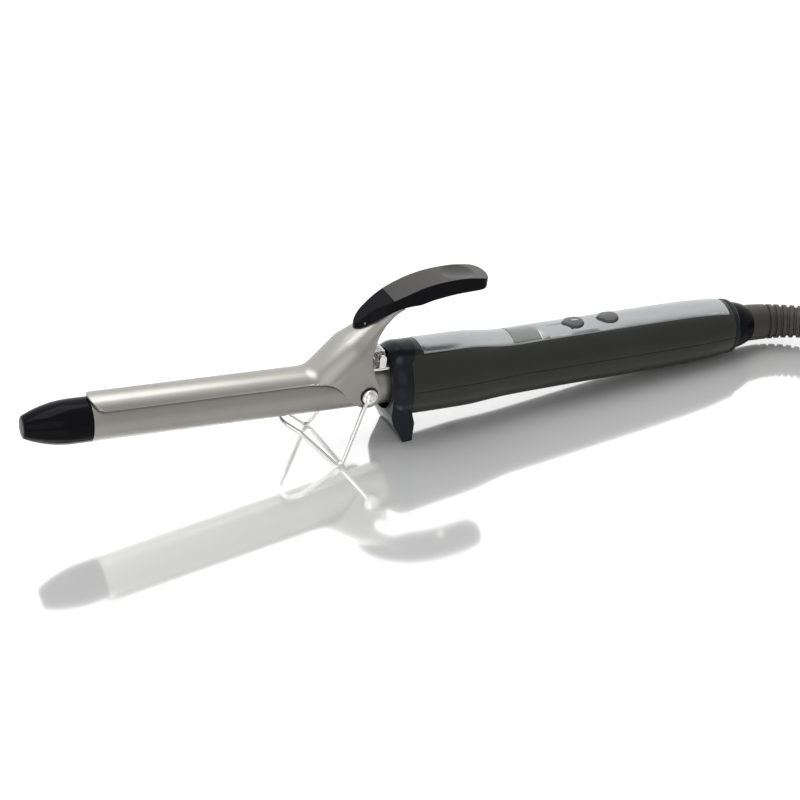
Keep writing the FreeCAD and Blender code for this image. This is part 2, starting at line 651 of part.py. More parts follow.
shell_wall = float(cell("shell_wall"))
tail_end = float(cell("tail_end"))
outer_form, inner_form = handle_loft(0), handle_loft(-shell_wall)
PARTING_START, PARTING_SLOPE = V(169, 0, 1.5), 0.0302
SEAM_GAP = 0.12
below = Part.makeBox(400, 80, 60, V(-200, -40, -60 - SEAM_GAP / 2))
above = Part.makeBox(400, 80, 60, V(-200, -40, SEAM_GAP / 2))
parting = FreeCAD.Placement(PARTING_START, FreeCAD.Rotation(ACROSS, -math.degrees(PARTING_SLOPE)))
below.Placement = parting
above.Placement = parting


def parting_level(along):
    return PARTING_START.z + PARTING_SLOPE * (along - PARTING_START.x)


shell_zone = handle_zone.copy()
shell_zone.translate(V(SEAM_GAP, 0, 0))
shell_zone = shell_zone.common(block((150, -30, -30), (tail_end, 30, 40)))
skin = outer_form.cut(inner_form).common(shell_zone)

SCREWS = (196.5, 299.5)
POST_RADIUS, SCREW_SHANK, SCREW_HEAD = 3.4, 1.3, 2.6
lower_posts = [Part.makeCylinder(POST_RADIUS, 20, V(x, 0, parting_level(x) - 20)) for x in SCREWS]
upper_posts = [Part.makeCylinder(POST_RADIUS, 20, V(x, 0, parting_level(x) + 0.1)) for x in SCREWS]
head_seats = [parting_level(x) - 7 for x in SCREWS]
lower_bores = [Part.makeCylinder(SCREW_SHANK + 0.2, 30, V(x, 0, -15)) for x in SCREWS]
lower_bores += [Part.makeCylinder(SCREW_HEAD + 0.2, 20, V(x, 0, seat - 20))
                for x, seat in zip(SCREWS, head_seats)]
upper_bores = [Part.makeCylinder(SCREW_SHANK + 0.02, 8, V(x, 0, parting_level(x))) for x in SCREWS]
lower = skin.common(below).multiFuse([p.common(outer_form) for p in lower_posts])
shaped("handle_lower_shell", lower.cut(Part.makeCompound(lower_bores)).removeSplitter())


def button_outline(centre, grow):
    """A teardrop with its point towards the tip, in the X-Y plane."""
    radius, point = float(cell("button_radius")) + grow, 1.2 + grow
    reach = 4.5
    lean = math.acos((radius - point) / reach)
    side = V(-math.cos(lean), math.sin(lean), 0)
    middle, nose_end = V(centre, 0, 0), V(centre - reach, 0, 0)
    near = V(side.x, -side.y, 0)
    edges = [Part.Arc(middle + side * radius, middle + V(radius, 0, 0), middle + near * radius),
             Part.LineSegment(middle + near * radius, nose_end + near * point),
             Part.Arc(nose_end + near * point, nose_end - V(point, 0, 0), nose_end + side * point),
             Part.LineSegment(nose_end + side * point, middle + side * radius)]
    return [edge.toShape() for edge in edges]


def button_prism(centre, grow, low, high):
    return prism(button_outline(centre, grow), UP * (high - low), V(0, 0, low))


BUTTONS = {"power_button": float(cell("first_button")), "heat_button": float(cell("second_button"))}
BUTTON_PLAY = 0.25
button_holes = [button_prism(x, BUTTON_PLAY, 5, 30) for x in BUTTONS.values()]
panel_half, panel_depth = float(cell("panel_half_width")), float(cell("panel_depth"))
panel_front, panel_back = float(cell("panel_front")), float(cell("panel_back"))
panel_proud = float(cell("panel_proud"))
window_front, window_back = float(cell("window_front")), float(cell("window_back"))
PLAY = 0.08
panel_box = block((panel_front, -panel_half, 8), (panel_back, panel_half, 40))
recess_box = block((panel_front - PLAY, -panel_half - PLAY, 8),
                   (panel_back + PLAY, panel_half + PLAY, 40))
recess = recess_box.cut(handle_loft(-panel_depth - 0.05))
lamp_hole = block((window_front + 2, -5.5, 8), (window_back - 2, 5.5, 40))
upper = skin.common(above).multiFuse([p.common(outer_form) for p in upper_posts])
upper = upper.cut(recess).cut(lamp_hole).cut(Part.makeCompound(button_holes + upper_bores))
shaped("handle_upper_shell", upper)

panel_skin = handle_loft(panel_proud).cut(handle_loft(-panel_depth))
WINDOW_HALF = 7.15
window_box = block((window_front, -WINDOW_HALF, 8), (window_back, WINDOW_HALF, 40))
window_hole = block((window_front - PLAY, -WINDOW_HALF - PLAY, 8),
                    (window_back + PLAY, WINDOW_HALF + PLAY, 40))
panel = panel_skin.common(panel_box).cut(window_hole).cut(Part.makeCompound(button_holes))
shaped("control_panel", panel)
window_skin = handle_loft(panel_proud + 0.1).cut(handle_loft(-panel_depth))
shaped("display_window", window_skin.common(window_box))

# ---------------------------------------------------------------- buttons and circuit board
BUTTON_FOOT, FLANGE_TOP, STEM_END = 12.9, 13.5, 12.2
button_crown = handle_loft(1.1)
for name, along in BUTTONS.items():
    head = button_prism(along, 0, BUTTON_FOOT, 30).common(button_crown)
    flange = button_prism(along, 0.9, BUTTON_FOOT, FLANGE_TOP)
    stem = Part.makeCylinder(2, BUTTON_FOOT - STEM_END + 0.2, V(along, 0, STEM_END))
    shaped(name, head.multiFuse([flange, stem]).removeSplitter())

board_level, board_thick = cell("board_level"), cell("board_thick")
board_top = board_level + board_thick
first_button, second_button = cell("first_button"), cell("second_button")
BOARD_FRONT, BOARD_BACK, BOARD_HALF = 206, 293, 9.5
finish(padded("circuit_board", [
    (BOARD_FRONT, -BOARD_HALF), (BOARD_BACK, -BOARD_HALF), (BOARD_BACK, BOARD_HALF),
    (BOARD_FRONT, BOARD_HALF)], "XY_Plane", board_thick, (0, 0, board_level), both_ways=False),
    "circuit_board", IRON)
switch_gap = cell("button_travel") + 0.1
switches = []
for name, along in (("power", first_button), ("heat", second_button)):
    base = box(name + "_switch_base", (along - 3, -3, board_top), (6, 6, 3.4))
    plunger = rod(name + "_switch_plunger", (along, 0, board_top + 3.2), "z", 1.75,
                  Size(STEM_END) - board_top - 3.2 - switch_gap)
    switches.append(fused(name + "_switch", base, plunger))
finish(group("tact_switches", *switches), "tact_switches", IRON)
lamps = [box("lamp_%d" % n, (cell("window_front") + 3.2, across, board_top), (5, 2.4, 4))
         for n, across in enumerate((-5.2, -1.2, 2.8))]
finish(group("display_leds", *lamps), "display_leds", IRON)
finish(padded("triac", [(212, -4.6), (219, -4.6), (219, 4.6), (212, 4.6)], "XY_Plane", 4.4,
              (0, 0, board_level - 4.4), both_ways=False), "triac", IRON)
finish(turned("capacitor", [(262, 0), (262, 4), (275, 4), (275, 0)],
              offset=(0, board_level - 4.05, 0)), "capacitor", IRON)

screw_pair = []
for n, (x, seat) in enumerate(zip(SCREWS, head_seats)):
    screw_pair.append(turned("handle_screw_%d" % n, [
        (0, seat - 2), (SCREW_HEAD, seat - 2), (SCREW_HEAD, seat), (SCREW_SHANK, seat),
        (SCREW_SHANK, seat + 13), (0, seat + 14)], "XZ_Plane", "V_Axis", (x, 0, 0)))
finish(group("handle_screws", *screw_pair), "handle_screws", IRON)

# ---------------------------------------------------------------- tail ring and swivel
swivel_height, swivel_bore = cell("swivel_height"), cell("swivel_bore")
tail = cell("tail_end")
on_swivel = (0, swivel_height, 0)
finish(turned("tail_ring", [
    (tail - 1.6, swivel_bore), (tail - 1.6, 9.6), (tail + 0.02, 9.6), (tail + 0.02, 12.9),
    (tail + 2.2, 12.6), (tail + 2.8, 12.0), (tail + 2.8, swivel_bore)], offset=on_swivel),
    "tail_ring", IRON)
finish(turned("swivel_socket", [(316, 4.4), (316, 8.2), (329, 8.2), (329, 4.4)], offset=on_swivel),
       "swivel_socket", IRON)
SPINDLE_FRONT, SPINDLE, RING_RADIUS = 305, 3.0, 3.8
RING_PLACES = (306.5, 311.5)
RING_WIDE = 2.5
rings_cut = [(x + shift, radius) for x in RING_PLACES
             for shift, radius in ((0, SPINDLE), (0, SPINDLE - 0.8),
                                   (RING_WIDE, SPINDLE - 0.8), (RING_WIDE, SPINDLE))]
finish(turned("swivel_cone", [(SPINDLE_FRONT, 0), (SPINDLE_FRONT, SPINDLE)] + rings_cut + [
    (316.5, SPINDLE), (316.5, 4.34), (330, 4.34), (330, 9.1), (tail - 1.9, 9.1),
    (tail - 1.9, swivel_bore - 0.05), (tail + 3.1, swivel_bore - 0.05), (tail + 3.1, 11.2, 26),
    (tail + 12.5, 8.7), (tail + 12.5, 0)], offset=on_swivel), "swivel_cone", IRON)
slip_rings = [turned("slip_ring_%d" % n, [
    (x, SPINDLE - 0.8), (x, RING_RADIUS), (x + RING_WIDE, RING_RADIUS), (x + RING_WIDE, SPINDLE - 0.8)],
    offset=on_swivel) for n, x in enumerate(RING_PLACES)]
finish(group("slip_rings", *slip_rings), "slip_rings", IRON)
CONTACT_FRONT, CONTACT_THICK, CONTACT_GAP, CONTACT_HALF = 304, 0.9, 0.25, 1.6
LIVE_RADIUS = 0.7
contacts, supply = [], []
for n, (x, side) in enumerate(zip(RING_PLACES, (-1, 1))):
    inner_face = RING_RADIUS + CONTACT_GAP
    low_side = inner_face if side > 0 else -inner_face - CONTACT_THICK
    contacts.append(box("contact_%d" % n, (CONTACT_FRONT, low_side, swivel_height - CONTACT_HALF),
                        (x + RING_WIDE - CONTACT_FRONT, CONTACT_THICK, 2 * CONTACT_HALF)))
    supply.append(rod("supply_lead_%d" % n, (BOARD_BACK, side * (inner_face + CONTACT_THICK / 2),
                                             board_level + board_thick * 0.5), "x", LIVE_RADIUS,
                      CONTACT_FRONT - BOARD_BACK))
finish(group("contact_springs", *contacts), "contact_springs", IRON)
finish(group("supply_leads", *supply), "supply_leads", IRON)

# ---------------------------------------------------------------- strain relief
relief_start = IRON.multVec(V(tail_end + 12.5, 0, float(swivel_height)))
way_out = IRON.Rotation.multVec(ALONG)
way_off = V(0.7166, -0.692, 0.087).normalize()
RELIEF_BEND = 40
turn = way_out.getAngle(way_off)
bend_side = (way_off - way_out * way_off.dot(way_out)).normalize()


def relief_point(angle):
    """Centre of the relief's curved axis, and its direction, after turning by angle."""
    place = relief_start + way_out * (RELIEF_BEND * math.sin(angle))
    place += bend_side * (RELIEF_BEND * (1 - math.cos(angle)))
    return place, way_out * math.cos(angle) + bend_side * math.sin(angle)


relief_rings = []
STEPS = 6
for step in range(STEPS + 1):
    place, way = relief_point(turn * step / STEPS)
    relief_rings.append(Part.Wire(Part.Circle(place, way, 8.7 - 1.3 * step / STEPS).toShape()))
relief_end, way = relief_point(turn)
RELIEF_TAIL, cord_radius = 12, float(cell("cord_radius"))
relief_tip = relief_end + way * RELIEF_TAIL
relief_rings.append(Part.Wire(Part.Circle(relief_tip, way, 4.6).toShape()))
shaped("strain_relief", Part.makeLoft(relief_rings, True, False), FLOOR)

# ---------------------------------------------------------------- cord, put away as a tied hank
hank_centre = V(float(cell("hank_centre_along")), float(cell("hank_centre_across")), 0)
hank_straight, hank_fold = float(cell("hank_straight")), float(cell("hank_fold"))
turns_deep = int(float(cell("hank_turns_deep")))
cord_across = 2 * cord_radius
lead_points = [
    relief_tip,
    relief_tip + way * 12,
    V(232, -43, 11.6),
    V(245, -50.5, 6.4),
    V(260, -54.6, 3.6),
    V(276, -55.1, 3.05),
]
lead_bends = bend_radii(lead_points)
print("cord lead bends", [round(r, 1) for r in lead_bends])
shaped("cord_lead", swept(rounded_path(lead_points, lead_bends), cord_radius), FLOOR)


def racetrack(outer_fold, low, high):
    """A solid stadium about the hank's centre."""
    left = hank_centre - ALONG * (hank_straight / 2)
    right = hank_centre + ALONG * (hank_straight / 2)
    side, end = ACROSS * outer_fold, ALONG * outer_fold
    edges = [Part.LineSegment(left - side, right - side),
             Part.Arc(right - side, right + end, right + side),
             Part.LineSegment(right + side, left + side),
             Part.Arc(left + side, left - end, left - side)]
    return prism([e.toShape() for e in edges], UP * (high - low), V(0, 0, low))


hank_high = 3 * cord_across
hank_outer = hank_fold + cord_radius
hank_inner = hank_fold - (turns_deep - 0.5) * cord_across
hank = racetrack(hank_outer, 0, hank_high).cut(racetrack(hank_inner, -1, hank_high + 1))
TIE_WIDE, TIE_THICK = 11, 1.2
tie_along = hank_centre.x - 7
tie_outer = block((tie_along - TIE_WIDE / 2, hank_centre.y - hank_outer - TIE_THICK, 0),
                  (tie_along + TIE_WIDE / 2, hank_centre.y + hank_outer + TIE_THICK,
                   hank_high + TIE_THICK))
tie_inner = block((tie_along - TIE_WIDE, hank_centre.y - hank_outer, TIE_THICK),
                  (tie_along + TIE_WIDE, hank_centre.y + hank_outer, hank_high))
tie = tie_outer.cut(tie_inner)
shaped("cord_hank", hank.cut(tie), FLOOR)
shaped("cord_tie", tie, FLOOR)

plug_level = float(cell("plug_level"))
plug_across = hank_centre.y - hank_fold + 2 * cord_across
PLUG_TAIL = 314
end_points = [
    V(266, plug_across, 15),
    V(282, plug_across, 15.9),
    V(298, plug_across, 23.6),
    V(PLUG_TAIL, plug_across, plug_level),
]
end_bends = bend_radii(end_points)
print("cord end bends", [round(r, 1) for r in end_bends])
shaped("cord_end", swept(rounded_path(end_points, end_bends), cord_radius), FLOOR)

PLUG_LONG, PLUG_WIDE, PLUG_THICK, PIN_APART = 34, 32, 13.6, 19
plug_relief = Part.makeCone(4.2, 6.2, 14, V(PLUG_TAIL, plug_across, plug_level), ALONG)
plug_start = PLUG_TAIL + 13
shoulder, pin_face = plug_start + 12, plug_start + PLUG_LONG
plug_plan = lines([(plug_start, -6, 0), (shoulder, -PLUG_WIDE / 2, 0), (pin_face, -PLUG_WIDE / 2, 0),
                   (pin_face, PLUG_WIDE / 2, 0), (shoulder, PLUG_WIDE / 2, 0), (plug_start, 6, 0)],
                  closed=True)
plug_block = prism(plug_plan, UP * PLUG_THICK, V(0, plug_across, plug_level - PLUG_THICK / 2))
level_edges = [e for e in plug_block.Edges if abs(e.tangentAt(e.FirstParameter).z) < 0.1]
plug_block = plug_block.makeFillet(3, level_edges)
pin_places = [V(pin_face, plug_across + side * PIN_APART / 2, plug_level) for side in (-1, 1)]
PIN_RADIUS, NECK_RADIUS, SLEEVE, PIN_TIP, PIN_ROOT = 2.0, 1.5, 10, 9, 8
pin_rooms = [Part.makeCylinder(NECK_RADIUS, PIN_ROOT, p - ALONG * PIN_ROOT, ALONG) for p in pin_places]
plug_shape = plug_block.fuse(plug_relief).cut(Part.makeCompound(pin_rooms))
shaped("plug_body", plug_shape.removeSplitter(), FLOOR)
pins, sleeves = [], []
for place in pin_places:
    neck = Part.makeCylinder(NECK_RADIUS, PIN_ROOT + SLEEVE, place - ALONG * PIN_ROOT, ALONG)
    tip = Part.makeCylinder(PIN_RADIUS, PIN_TIP, place + ALONG * SLEEVE, ALONG)
    pins.append(neck.fuse(tip).removeSplitter())
    sleeve = Part.makeCylinder(PIN_RADIUS, SLEEVE, place, ALONG)
    sleeves.append(sleeve.cut(Part.makeCylinder(NECK_RADIUS, SLEEVE, place, ALONG)))
shaped("plug_pins", Part.makeCompound(pins), FLOOR)
shaped("pin_sleeves", Part.makeCompound(sleeves), FLOOR)

# ---------------------------------------------------------------- check and write every sub-part
doc.recompute()
for thing in doc.Objects:
    if "Invalid" in thing.State or "Error" in thing.State:
        raise RuntimeError("%s did not compute" % thing.Label)
for thing in made:
    if thing.Shape.isNull() or not thing.Shape.isValid() or not thing.Shape.Solids:
        raise RuntimeError("%s has no sound shape" % thing.Label)
for thing in made:
    thing.Shape.exportStep("parts/%s.step" % thing.Label)
    room = thing.Shape.BoundBox
    print("%-20s %2d solids %9.1f mm3  z %7.2f to %7.2f" % (
        thing.Label, len(thing.Shape.Solids), thing.Shape.Volume, room.ZMin, room.ZMax))
print(len(made), "sub-parts")
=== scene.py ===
import math

import bmesh
import bpy
from mathutils import Matrix, Vector


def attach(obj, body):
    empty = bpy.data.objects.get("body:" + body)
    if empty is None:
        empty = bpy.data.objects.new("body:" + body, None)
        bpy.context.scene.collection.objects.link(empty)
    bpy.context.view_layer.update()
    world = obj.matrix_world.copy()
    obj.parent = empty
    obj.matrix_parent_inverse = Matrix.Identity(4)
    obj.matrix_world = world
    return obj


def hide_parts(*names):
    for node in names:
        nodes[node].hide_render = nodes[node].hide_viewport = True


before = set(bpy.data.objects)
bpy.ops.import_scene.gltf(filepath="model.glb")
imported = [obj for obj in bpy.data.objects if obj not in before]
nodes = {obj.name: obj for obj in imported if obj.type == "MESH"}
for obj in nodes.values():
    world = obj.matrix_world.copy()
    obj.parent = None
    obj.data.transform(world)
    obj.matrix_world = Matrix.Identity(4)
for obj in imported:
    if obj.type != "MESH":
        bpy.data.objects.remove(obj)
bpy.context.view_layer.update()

MM = 0.001

# ------------------------------------------------------------------ camera
# A long lens looks down on the iron from its near left side.
camera_data = bpy.data.cameras.new("camera")
camera_data.lens = 94.5
camera_data.sensor_width = 36
camera_data.clip_end = 20
camera = bpy.data.objects.new("camera", camera_data)
camera.location = (-0.33002, -0.72010, 0.49802)
camera.rotation_euler = (math.radians(58.5), 0, math.radians(-24.3))
bpy.context.scene.collection.objects.link(camera)
bpy.context.scene.camera = camera

# ------------------------------------------------------------------ cord
# 2.7 m of round rubber-jacketed mains cord. It leaves the strain relief, comes down to the table,
# and the rest is wound into a flat hank of three layers with its plug end lying on top.
CORD = 6.0 * MM
HANK_CENTRE = Vector((315, -25)) * MM
HANK_STRAIGHT = 84 * MM
ROUND_FOLD = 0.925          # a fold's control points stand out by this much from its true radius


class NodeTree:
    """Short ways to place and join the nodes of one material."""

    def __init__(self, name):
        self.material = bpy.data.materials.new(name)
        self.material.use_nodes = True
        self.tree = self.material.node_tree
        self.shader = self.tree.nodes["Principled BSDF"]

    def add(self, kind, **settings):
        node = self.tree.nodes.new(kind)
        for key, value in settings.items():
            if hasattr(node, key):
                setattr(node, key, value)
            else:
                node.inputs[key.replace("_", " ")].default_value = value
        return node

    def join(self, source, target):
        self.tree.links.new(source, target)

    def ramp(self, source, stops):
        node = self.add("ShaderNodeValToRGB")
        elements = node.color_ramp.elements
        while len(elements) < len(stops):
            elements.new(0.5)
        for element, (place, colour) in zip(elements, stops):
            element.position = place
            element.color = colour if len(colour) == 4 else (*colour, 1)
        self.join(source, node.inputs["Fac"])
        return node.outputs["Color"]

    def bump(self, height, strength, distance):
        node = self.add("ShaderNodeBump")
        node.inputs["Strength"].default_value = strength
        node.inputs["Distance"].default_value = distance
        self.join(height, node.inputs["Height"])
        self.join(node.outputs["Normal"], self.shader.inputs["Normal"])


def shaded(colour, factor):
    return tuple(min(1, c * factor) for c in colour)


def surface(name, colour, rough, metal=0.0, grain=900, depth=0.00002, strength=0.25, mottle=60,
            spread=0.12, coat=0.0, stretch=(1, 1, 1), specular=0.5):
    """A finish with its own colour variation, patchy gloss and fine moulded or cast grain."""
    made = NodeTree(name)
    place = made.add("ShaderNodeTexCoord")
    scale = made.add("ShaderNodeMapping")
    scale.inputs["Scale"].default_value = stretch
    made.join(place.outputs["Object"], scale.inputs["Vector"])
    cloudy = made.add("ShaderNodeTexNoise", Scale=mottle, Detail=4.0, Roughness=0.55)
    made.join(scale.outputs["Vector"], cloudy.inputs["Vector"])
    made.join(made.ramp(cloudy.outputs["Fac"], [(0.3, shaded(colour, 1 - spread)),
                                               (0.7, shaded(colour, 1 + spread))]),
              made.shader.inputs["Base Color"])
    fine = made.add("ShaderNodeTexNoise", Scale=grain, Detail=3.0, Roughness=0.6)
    made.join(scale.outputs["Vector"], fine.inputs["Vector"])
    gloss = made.add("ShaderNodeMapRange")
    gloss.inputs["To Min"].default_value = max(0.02, rough * (1 - spread))
    gloss.inputs["To Max"].default_value = rough * (1 + spread)
    made.join(cloudy.outputs["Fac"], gloss.inputs["Value"])
    made.join(gloss.outputs["Result"], made.shader.inputs["Roughness"])
    made.bump(fine.outputs["Fac"], strength, depth)
    made.shader.inputs["Metallic"].default_value = metal
    made.shader.inputs["Coat Weight"].default_value = coat
    made.shader.inputs["Coat Roughness"].default_value = 0.05
    made.shader.inputs["Specular IOR Level"].default_value = specular
    return made.material


cord_jacket = surface("cord_jacket", (0.020, 0.019, 0.018), 0.5, grain=1400, depth=0.00003)


def joined(name, data, material, body, slot, *stands_for):
    """Give finished mesh or curve data its object, finish and body."""
    piece = bpy.data.objects.new(name, data)
    bpy.context.scene.collection.objects.link(piece)
    data.materials.append(material)
    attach(piece, body)
    if stands_for:
        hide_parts(*stands_for)
    return piece


def fold(centre, radii, start, levels):
    """Control points round one end of the hank, from start (in degrees) through a half turn."""
    points = []
    for n in range(4):
        share = (22.5 + 45 * n) / 180
        reach = (radii[0] + (radii[1] - radii[0]) * share) / ROUND_FOLD
        angle = math.radians(start + 22.5 + 45 * n)
        points.append((centre.x + reach * math.cos(angle), centre.y + reach * math.sin(angle),
                       levels[0] + (levels[1] - levels[0]) * share))
    return points


def hank_route():
    """The wound part of the cord. Each turn runs out, round, back and round again."""
    out_end = HANK_CENTRE + Vector((HANK_STRAIGHT / 2, 0))
    back_end = HANK_CENTRE - Vector((HANK_STRAIGHT / 2, 0))
    # each turn: radius and height of the near run, the far run, and the run that follows
    turns = [((30, 3), (30, 3), (24, 3)), ((24, 3), (24, 3), (18, 3)),
             ((18, 3), (18, 9), (18, 9)), ((18, 9), (24, 9), (24, 9)),
             ((24, 9), (30, 9), (30, 9)), ((30, 15), (30, 15), (24, 15)),
             ((24, 15), (24, 15), (18, 15)), ((18, 15), (18, 18), (18, 21))]
    points = []
    near_level = 3 * MM
    for near, far, after in turns:
        near_radius, near_end = near[0] * MM, near[1] * MM
        far_radius, far_end = far[0] * MM, far[1] * MM
        after_radius, after_level = after[0] * MM, after[1] * MM
        for share in (0.25, 0.75):
            points.append((back_end.x + HANK_STRAIGHT * share, HANK_CENTRE.y - near_radius,
                           near_level + (near_end - near_level) * share))
        points += fold(out_end, (near_radius, far_radius), -90, (near_end, near_end))
        for share in (0.25, 0.75):
            points.append((out_end.x - HANK_STRAIGHT * share, HANK_CENTRE.y + far_radius,
                           near_end + (far_end - near_end) * share))
        points += fold(back_end, (far_radius, after_radius), 90, (far_end, after_level))
        near_level = after_level
    return points


lead_route = [(210.26, -19.87, 12.2), (218.86, -28.17, 13.25), (232, -43.0, 11.6),
              (245, -50.5, 6.4), (260, -54.6, 3.6), (276, -55.1, 3.05)]
end_route = [(280, -43, 22), (296, -43, 24.9), (314, -43, 25.2)]
route = [Vector(p) * MM for p in lead_route]
route += [Vector(p) for p in hank_route()]
route += [Vector(p) * MM for p in end_route]
cord_curve = bpy.data.curves.new("cord", "CURVE")
cord_curve.dimensions = "3D"
cord_curve.bevel_depth = CORD / 2
cord_curve.bevel_resolution = 5
cord_curve.resolution_u = 6
cord_curve.use_fill_caps = True
spline = cord_curve.splines.new("NURBS")
spline.points.add(len(route) - 1)
for control, place in zip(spline.points, route):
    control.co = (*place, 1)
spline.order_u = 3
spline.use_endpoint_u = True
cord = joined("cord", cord_curve, cord_jacket, "cord_end_swivel", "cord_black",
              "cord_lead", "cord_hank", "cord_end")

# ------------------------------------------------------------------ mains plug
# A flat two-pole plug moulded in hard black plastic onto the cord's end: a tapered cord relief with
# rings, a body with waisted sides, and two nickel-plated pins in insulating sleeves.
PLUG_START, PLUG_LEVEL, PLUG_ACROSS = 314, 25.2, -43
ON_TABLE = Matrix.Scale(MM, 4)
plug_plastic = surface("plug_plastic", (0.018, 0.018, 0.018), 0.42, grain=2200, depth=0.00002)
nickel = surface("nickel", (0.74, 0.73, 0.70), 0.2, metal=1.0, grain=1500, depth=0.000004,
                 stretch=(1, 8, 8), spread=0.05)
pin_sleeve_plastic = surface("pin_sleeve_plastic", (0.015, 0.015, 0.015), 0.35)


def rounded_edges(piece, width, segments=3, angle=32):
    """Break every edge sharper than angle, and shade the flats as flats."""
    for face in piece.data.polygons:
        face.use_smooth = True
    bevel = piece.modifiers.new("edges", "BEVEL")
    bevel.width = width
    bevel.segments = segments
    bevel.limit_method = "ANGLE"
    bevel.angle_limit = math.radians(angle)
    bevel.harden_normals = True
    bevel.use_clamp_overlap = True
    return piece


def solid(name, bm, place, material, body, slot, *stands_for, edge=0.25, segments=3, angle=32):
    """Turn a finished bmesh, drawn in millimetres, into a piece at its place."""
    bmesh.ops.remove_doubles(bm, verts=bm.verts, dist=0.0005)
    bmesh.ops.recalc_face_normals(bm, faces=bm.faces)
    bm.transform(place)
    mesh = bpy.data.meshes.new(name)
    bm.to_mesh(mesh)
    bm.free()
    piece = joined(name, mesh, material, body, slot, *stands_for)
    if edge:
        rounded_edges(piece, edge * MM, segments, angle)
    else:
        for face in mesh.polygons:
            face.use_smooth = True
    return piece


def turned(profile, steps=96, centre=(0, 0, 0), bm=None):
    """Spin a half outline of (along, radius) about a line along X."""
    bm = bm or bmesh.new()
    verts = [bm.verts.new((centre[0] + x, centre[1], centre[2] + r)) for x, r in profile]
    edges = [bm.edges.new(pair) for pair in zip(verts, verts[1:])]
    bmesh.ops.spin(bm, geom=verts + edges, cent=centre, axis=(1, 0, 0), angle=2 * math.pi,
                   steps=steps, use_merge=True)
    bmesh.ops.remove_doubles(bm, verts=bm.verts, dist=0.0005)
    return bm


def extruded(outline, push, bm=None):
    """A closed outline of 3-D points pushed along a vector into a solid."""
    bm = bm or bmesh.new()
    face = bm.faces.new([bm.verts.new(p) for p in outline])
    moved = bmesh.ops.extrude_face_region(bm, geom=[face])
    far_side = [v for v in moved["geom"] if isinstance(v, bmesh.types.BMVert)]
    bmesh.ops.translate(bm, vec=push, verts=far_side)
    bmesh.ops.recalc_face_normals(bm, faces=bm.faces)
    return bm


relief_profile = [(0, 0), (0, 3.3)]
for ring in range(4):
    base = 3.6 + ring * 0.55
    relief_profile += [(0.6 + ring * 3.2, base), (2.4 + ring * 3.2, base + 0.15),
                       (2.7 + ring * 3.2, base - 0.45), (3.5 + ring * 3.2, base - 0.4)]
relief_profile += [(13.6, 5.8), (15.5, 6.1), (15.5, 0)]
plug_axis = (PLUG_START, PLUG_ACROSS, PLUG_LEVEL)
plug_relief = solid("plug_relief", turned(relief_profile, 48, plug_axis), ON_TABLE, plug_plastic,
                    "cord_end_swivel", "plug_black", edge=0.15, segments=2)
plug_plan = [(327.0, 6.2), (330.5, 8.4), (334.5, 12.6), (338.5, 15.4), (342.5, 15.9), (348, 14.9),
             (354, 15.2), (358.5, 15.9), (361, 15.9)]
plug_outline = [(x, PLUG_ACROSS - y, PLUG_LEVEL - 6.6) for x, y in plug_plan]
plug_outline += [(x, PLUG_ACROSS + y, PLUG_LEVEL - 6.6) for x, y in reversed(plug_plan)]
plug_moulding = solid("plug_moulding", extruded(plug_outline, (0, 0, 13.2)), ON_TABLE, plug_plastic,
                      "cord_end_swivel", "plug_black", "plug_body", edge=2.6, segments=6, angle=50)


def finished(finish, *names):
    """CAD nodes that keep their own mesh and get a better material."""
    for name in names:
        nodes[name].data.materials.clear()
        nodes[name].data.materials.append(finish)


finished(nickel, "plug_pins")
finished(pin_sleeve_plastic, "pin_sleeves")


# ------------------------------------------------------------------ the iron's lean
# The iron stands on the collar's foot and the handle's tail, so its barrel points a little upwards.
# Its pieces are drawn along X with the barrel's axis at zero, and then leant and lifted into place.
LEAN = math.radians(6.235)
LIFTED = Matrix.Translation((-0.17352, 0, 0.04325))
IRON = LIFTED @ Matrix.Rotation(LEAN, 4, "Y") @ Matrix.Scale(MM, 4)


# ------------------------------------------------------------------ barrel, cool tip and heater
# The barrel is a drawn tube with a grey titanium coat. Its end is closed by a glossy black cap with
# a round nose and a seam, and a flat heater sits inside it between two aluminium half rounds.
gloss_black = surface("gloss_black", (0.005, 0.005, 0.006), 0.11, grain=300, depth=0.000004,
                      mottle=25, spread=0.2, specular=0.05)
titanium = surface("titanium", (0.33, 0.326, 0.302), 0.36, metal=0.9, grain=2600, depth=0.00001,
                   spread=0.04, strength=0.3)
finished(titanium, "barrel_tube")
BARREL, CAP_ARC, CAP_SHOULDER = 9.5, 47.4, 21
cap_profile = [(0, 0), (0, 3.4), (0.08, 4.1), (0.4, 4.75)]
cap_profile += [(x, math.sqrt(CAP_ARC ** 2 - (CAP_SHOULDER - x) ** 2) - (CAP_ARC - BARREL))
                for x in range(1, CAP_SHOULDER + 1)]
cap_profile += [(27.2, BARREL), (27.45, 9.15), (27.75, 9.15), (28, 9.42), (28, 8.25), (36, 8.25),
                (36, 0)]
solid("cool_tip", turned(cap_profile, 128), IRON, gloss_black, "handle", "gloss_black", "tip_cap",
      edge=0.08, segments=2, angle=40)
finished(surface("extruded_aluminium", (0.62, 0.63, 0.64), 0.38, metal=1.0, stretch=(0.1, 6, 6)),
         "heat_spreaders")
finished(surface("amber_film", (0.55, 0.24, 0.03), 0.25, coat=0.4, mottle=200), "heater_insulation")
finished(surface("white_ceramic", (0.75, 0.73, 0.68), 0.6, grain=1200), "ceramic_heater")
finished(surface("sensor_glass", (0.30, 0.12, 0.05), 0.2, coat=0.6, mottle=300),
         "temperature_sensor", "thermal_fuse")
finished(surface("braided_sleeve", (0.62, 0.60, 0.55), 0.8, grain=5000, depth=0.0001, strength=0.7),
         "heater_leads")

# ------------------------------------------------------------------ clamp and thumb grip
# One piece of pressed sheet makes the tongue, ears and lever. The grip's black nose and sides are
# polished, its top is a satin pad from the crease back, with an oval finger hollow near the rear.


